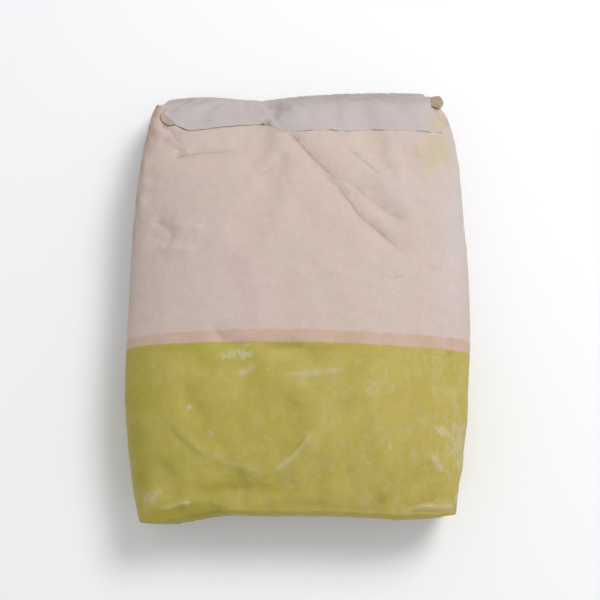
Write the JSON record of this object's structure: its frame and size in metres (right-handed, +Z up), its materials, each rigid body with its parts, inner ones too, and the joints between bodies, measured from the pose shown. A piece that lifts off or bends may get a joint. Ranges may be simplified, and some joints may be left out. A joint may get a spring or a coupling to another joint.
{
  "type": "cement bag",
  "caption": "Filled block-end paper sack of white cement lying on its back, with glued cover strips over both folded ends and a kraft valve sleeve in one corner.",
  "frame": {"origin": "middle of the box's underside, on the floor that the sack lies on", "axes": "+Z up out of the printed front face, +X across the sack to the right as the picture shows it, +Y along the sack towards its top end with the valve"},
  "size_m": [0.3695, 0.4975, 0.121],
  "materials": {
    "printed_paper": "matte",
    "strip_paper": "matte",
    "kraft_paper": "matte"
  },
  "bodies": {
    "root": {"filled_sack": "printed_paper", "top_cover_strip": "strip_paper", "foot_cover_strip": "strip_paper", "valve_sleeve": "kraft_paper"}
  },
  "joints": []
}
